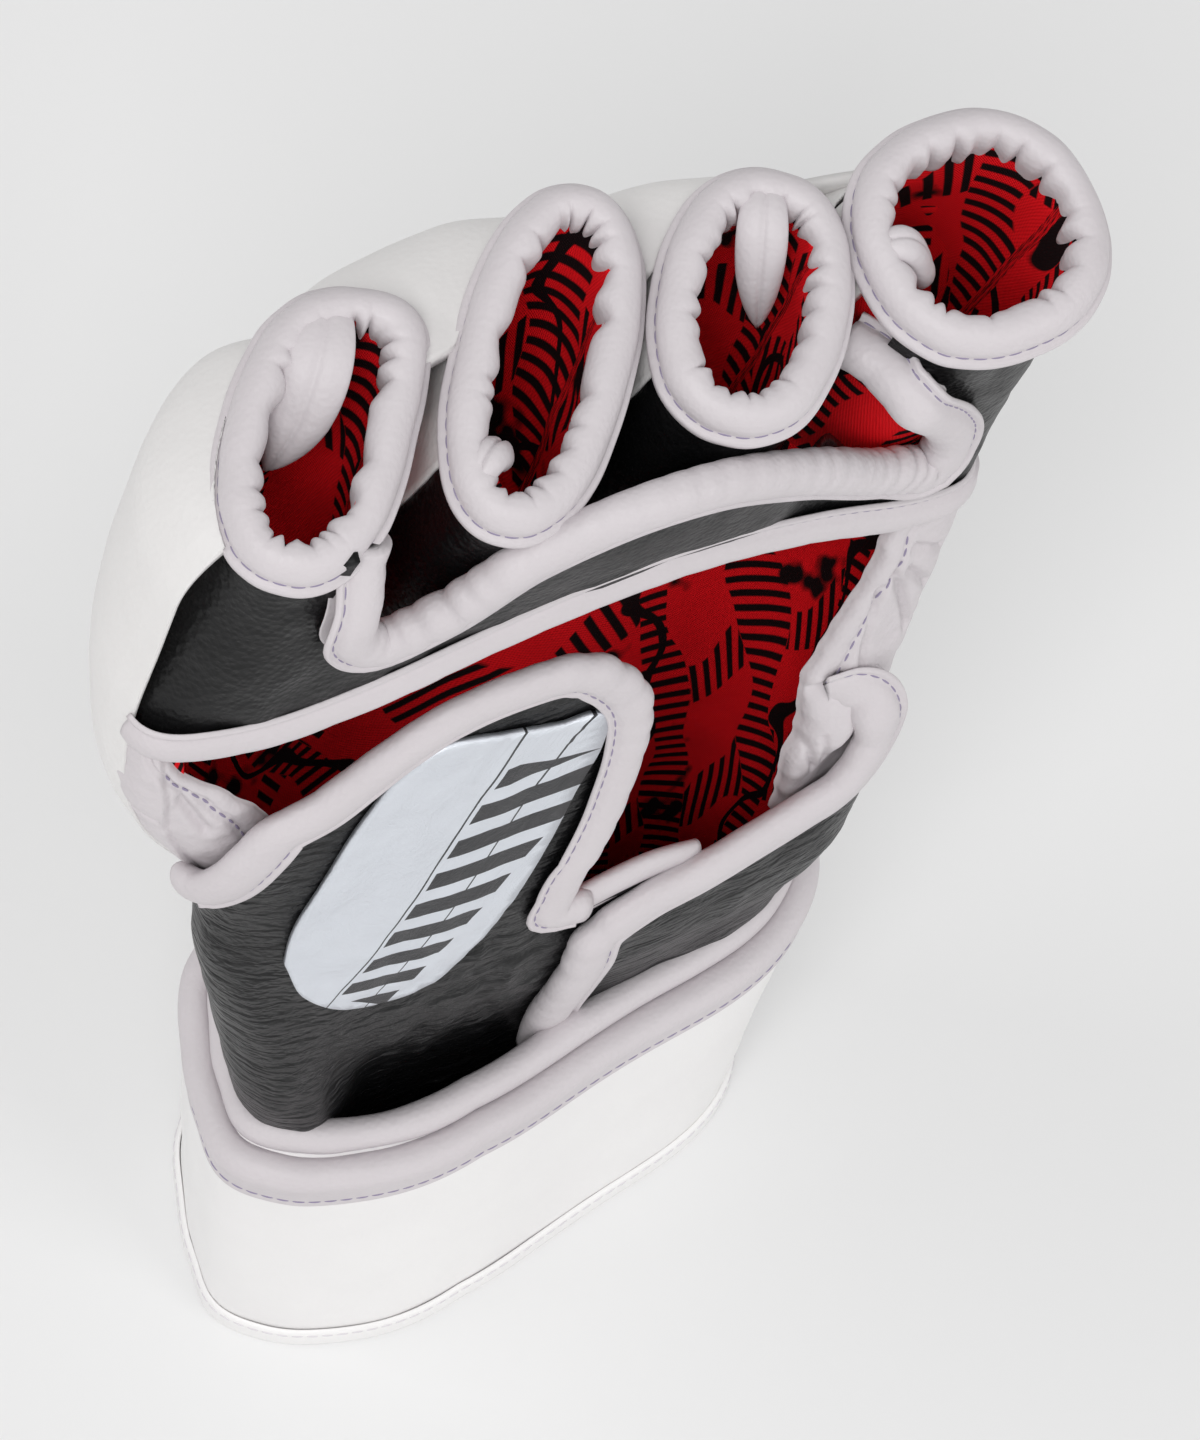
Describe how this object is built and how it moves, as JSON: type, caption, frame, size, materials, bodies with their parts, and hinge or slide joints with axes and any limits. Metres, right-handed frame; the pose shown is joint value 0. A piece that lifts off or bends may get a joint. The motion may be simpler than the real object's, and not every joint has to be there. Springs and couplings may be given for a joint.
{
  "type": "mma glove",
  "caption": "Open-finger grappling glove with padded knuckles, bound finger openings, an open palm under a bridging band, overlapping heel and thumb flaps and a wrap-round wrist strap.",
  "frame": {"origin": "centre of the bounding box in plan, at the lower edge of the wrist strap, on which the glove stands", "axes": "+Z from the wrist to the fingertips, -Y the way the palm faces, +X the thumb side"},
  "size_m": [0.1186, 0.0612, 0.1955],
  "materials": {
    "white_leather": "fine grained white leather, satin",
    "strap_leather": "smooth white leather, soft sheen",
    "trim": "thin rolled binding leather, off-white with a lilac cast",
    "black_leather": "grained black leather, soft gloss",
    "lining": "red twill lining with a dark hatch print",
    "silver": "smooth silver coated leather"
  },
  "bodies": {
    "root": {"back_shell": "white_leather", "heel_flap": "black_leather", "heel_flap_binding": "trim", "heel_sill_binding": "trim", "index_back": "white_leather", "index_binding": "trim", "index_lining": "lining", "index_pad": "white_leather", "index_tail": "trim", "inner_strap": "white_leather", "inner_strap_binding": "trim", "knuckle_pad": "white_leather", "lining": "lining", "little_back": "white_leather", "little_binding": "trim", "little_lining": "lining", "little_side_binding": "trim", "little_tail": "trim", "middle_back": "white_leather", "middle_binding": "trim", "middle_front": "black_leather", "middle_lining": "lining", "middle_tail": "trim", "outer_strap": "strap_leather", "outer_strap_binding": "trim", "outer_strap_hem": "strap_leather", "palm_band": "black_leather", "palm_band_binding": "trim", "patch": "silver", "ring_back": "white_leather", "ring_binding": "trim", "ring_front": "black_leather", "ring_knot": "trim", "ring_lining": "lining", "slot_binding": "trim", "strap_tab": "strap_leather", "thumb_flap": "black_leather", "thumb_flap_binding": "trim", "thumb_side_binding": "trim"}
  },
  "joints": []
}
